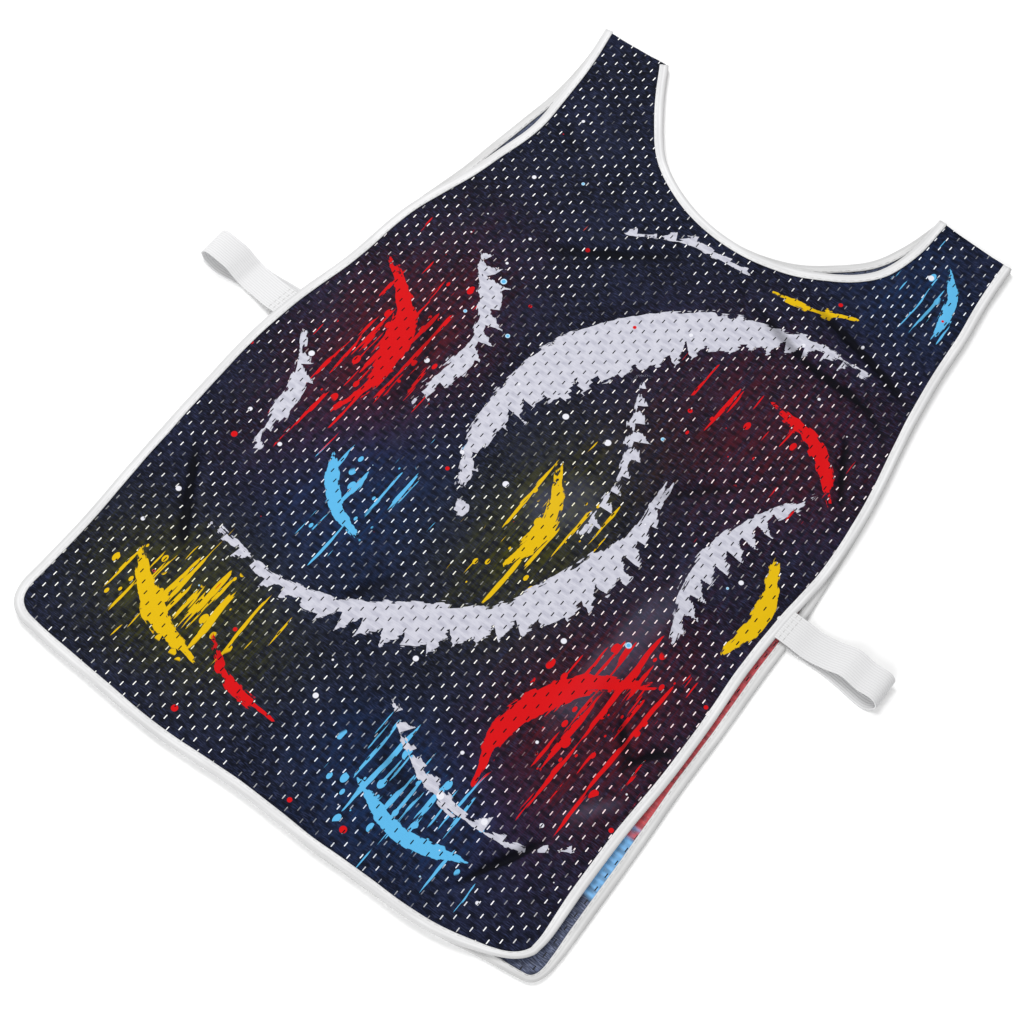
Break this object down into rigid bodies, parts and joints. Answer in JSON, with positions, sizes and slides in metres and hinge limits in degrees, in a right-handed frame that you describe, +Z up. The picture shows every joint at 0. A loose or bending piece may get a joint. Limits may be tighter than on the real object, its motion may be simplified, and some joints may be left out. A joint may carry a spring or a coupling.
{
  "type": "caddy bib",
  "caption": "Sleeveless caddy bib of perforated mesh cloth laid flat, with taped edges, a wide neck and an elastic loop at each side.",
  "frame": {"origin": "on the surface that the bib lies on, under the middle of its outline with the elastic loops", "axes": "+Y from the hem to the shoulders, +X to the right seen from above, +Z up from the surface"},
  "size_m": [0.6462, 0.7235, 0.0139],
  "materials": {
    "printed_mesh_cloth": "polyester mesh with small slit holes, dark navy with an abstract print in pale grey, red, yellow and sky blue",
    "faded_mesh_cloth": "polyester mesh seen from its inner face, washed-out navy with faded print",
    "binding_tape": "white woven polyester tape, folded over the edge and stitched",
    "elastic_strap": "white ribbed woven elastic"
  },
  "bodies": {
    "root": {"back_panel": "faded_mesh_cloth", "front_panel": "printed_mesh_cloth", "back_edge_binding": "binding_tape", "back_neck_binding": "binding_tape", "front_edge_binding": "binding_tape", "front_neck_binding": "binding_tape", "elastic_left": "elastic_strap", "elastic_right": "elastic_strap"}
  },
  "joints": []
}
